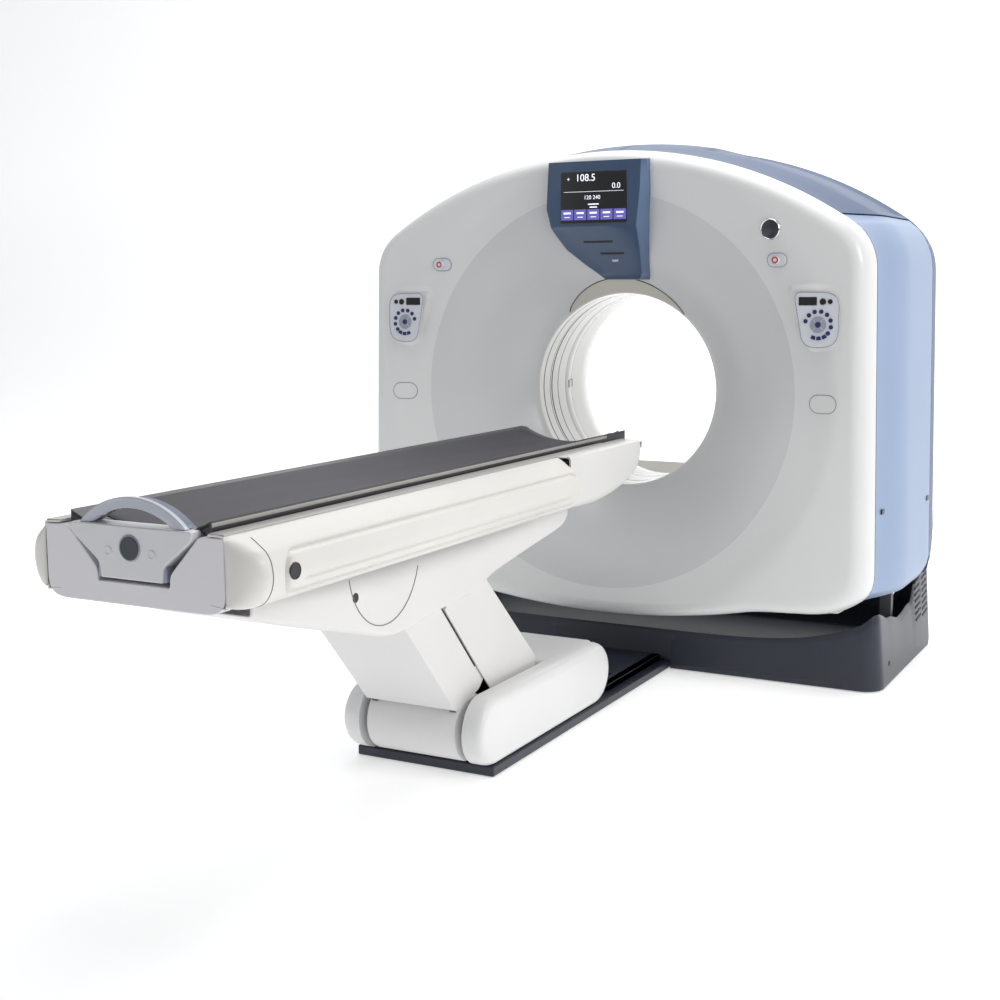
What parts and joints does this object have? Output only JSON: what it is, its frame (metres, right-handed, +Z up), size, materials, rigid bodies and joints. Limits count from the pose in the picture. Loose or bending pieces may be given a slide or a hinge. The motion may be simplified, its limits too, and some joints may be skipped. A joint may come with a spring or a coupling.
{
  "type": "ct scanner",
  "caption": "Tilting CT scanner gantry with a round bore, and a patient table whose sliding cradle rides on a parallel-arm lift.",
  "frame": {"origin": "on the floor, midway across, at the front edge of the gantry base", "axes": "+Z up, +Y from the table's foot towards the gantry, +X to the right seen from the table's foot"},
  "size_m": [2.0146, 3.3415, 1.885],
  "materials": {
    "cover_white": "satin",
    "cover_blue_light": "satin",
    "cover_blue_dark": "satin",
    "bore_liner": "smooth",
    "window_film": "smooth",
    "bezel_slate": "satin",
    "screen": "glossy",
    "panel_grey": "satin",
    "stop_red": "glossy",
    "base_navy": "satin",
    "pedal_grey": "satin",
    "frame_paint": "satin",
    "bearing_steel": "ground",
    "motor_grey": "satin",
    "copper_ring": "satin",
    "module_metal": "satin",
    "wheel_rubber": "matt",
    "cradle_carbon": "satin",
    "mat_cover": "matt",
    "block_grey": "satin",
    "handle_clear": "glossy"
  },
  "bodies": {
    "base": {"table_base_plate": "base_navy", "lift_base_bracket": "frame_paint", "base_shell_left": "cover_white", "base_shell_right": "cover_white", "base_rear_cover": "cover_white", "lift_gearmotor": "motor_grey", "pedal_channel": "base_navy", "lift_base_pins": "bearing_steel", "gantry_base_skirt": "base_navy", "gantry_base_frame": "frame_paint", "tilt_column_left": "frame_paint", "tilt_column_right": "frame_paint", "trunnion_bearings": "bearing_steel", "tilt_gearmotor": "motor_grey"},
    "gantry": {"front_cover": "cover_white", "rear_cover": "cover_blue_dark", "side_panel_left": "cover_blue_light", "side_panel_right": "cover_blue_light", "top_panel_left": "cover_blue_dark", "top_panel_right": "cover_blue_dark", "belly_pan": "cover_white", "bore_liner_front": "bore_liner", "scan_window": "window_film", "bore_liner_rear": "bore_liner", "display_bezel": "bezel_slate", "display_screen": "screen", "control_panel_left": "panel_grey", "control_panel_right": "panel_grey", "stop_plates": "panel_grey", "tilt_frame": "frame_paint", "main_bearing_outer": "bearing_steel"},
    "rotor": {"main_bearing_inner": "bearing_steel", "rotor_drum": "frame_paint", "slip_ring": "copper_ring", "x_ray_tube": "motor_grey", "collimator": "module_metal", "rotor_power_units": "motor_grey", "detector_array": "module_metal"},
    "stop_left": {"stop_button_left": "stop_red"},
    "stop_right": {"stop_button_right": "stop_red"},
    "front_arm": {"front_arm": "frame_paint", "front_arm_cover": "cover_white", "front_arm_roll": "cover_white"},
    "rear_arm": {"rear_arm": "frame_paint", "rear_arm_cover": "cover_white"},
    "table": {"table_frame": "frame_paint", "side_cover_left": "cover_white", "side_cover_right": "cover_white", "foot_end_cover": "cover_white", "head_nose_cover": "cover_white", "underbody_cover": "cover_white", "lift_top_pins": "bearing_steel", "cradle_drive_motor": "motor_grey"},
    "cradle": {"cradle": "cradle_carbon", "cradle_mat": "mat_cover", "cradle_end_block": "block_grey", "cradle_handle": "handle_clear"},
    "drive_wheel": {"cradle_drive_wheel": "wheel_rubber"},
    "pedal_left": {"foot_pedal_left": "pedal_grey"},
    "pedal_right": {"foot_pedal_right": "pedal_grey"}
  },
  "joints": [
    {"name": "gantry_tilt", "type": "hinge", "parent": "base", "child": "gantry", "pos_m": [0, 0.37, 0.997], "axis": [1, 0, 0], "range_deg": [-30, 30]},
    {"name": "rotor_spin", "type": "hinge", "parent": "gantry", "child": "rotor", "pos_m": [0, 0.5375, 0.997], "axis": [0, 1, 0], "continuous": true},
    {"name": "lift", "type": "hinge", "parent": "base", "child": "front_arm", "pos_m": [0, -1.31, 0.131], "axis": [-1, 0, 0], "range_deg": [-30.5, 12.3]},
    {"name": "rear_arm_swing", "type": "hinge", "parent": "base", "child": "rear_arm", "pos_m": [0, -1.01, 0.131], "axis": [-1, 0, 0], "range_deg": [-30.6, 12.4]},
    {"name": "table_level", "type": "hinge", "parent": "front_arm", "child": "table", "pos_m": [0, -1.81854, 0.69579], "axis": [-1, 0, 0], "range_deg": [-12.4, 30.6]},
    {"name": "cradle_slide", "type": "slide", "parent": "table", "child": "cradle", "axis": [0, 1, 0], "range_m": [0, 1.7]},
    {"name": "cradle_drive", "type": "hinge", "parent": "table", "child": "drive_wheel", "pos_m": [0, -0.71354, 0.80449], "axis": [-1, 0, 0], "range_deg": [-5, 3250]},
    {"name": "stop_left_press", "type": "slide", "parent": "gantry", "child": "stop_left", "axis": [0, 1, 0], "range_m": [0, 0.004], "stiffness_N_per_m": 800, "springref_m": -0.002},
    {"name": "stop_right_press", "type": "slide", "parent": "gantry", "child": "stop_right", "axis": [0, 1, 0], "range_m": [0, 0.004], "stiffness_N_per_m": 800, "springref_m": -0.002},
    {"name": "pedal_left_press", "type": "hinge", "parent": "base", "child": "pedal_left", "pos_m": [-0.11, -0.34, 0.049], "axis": [1, 0, 0], "range_deg": [0, 5], "stiffness_Nm_per_rad": 6, "springref_deg": -17.19},
    {"name": "pedal_right_press", "type": "hinge", "parent": "base", "child": "pedal_right", "pos_m": [0.11, -0.34, 0.049], "axis": [1, 0, 0], "range_deg": [0, 5], "stiffness_Nm_per_rad": 6, "springref_deg": -17.19}
  ],
  "couplings": [
    {"joint": "rear_arm_swing", "follows": "lift", "ratio": 1},
    {"joint": "table_level", "follows": "lift", "ratio": -1},
    {"joint": "cradle_drive", "follows": "cradle_slide", "rad_per_m": 33.333}
  ]
}
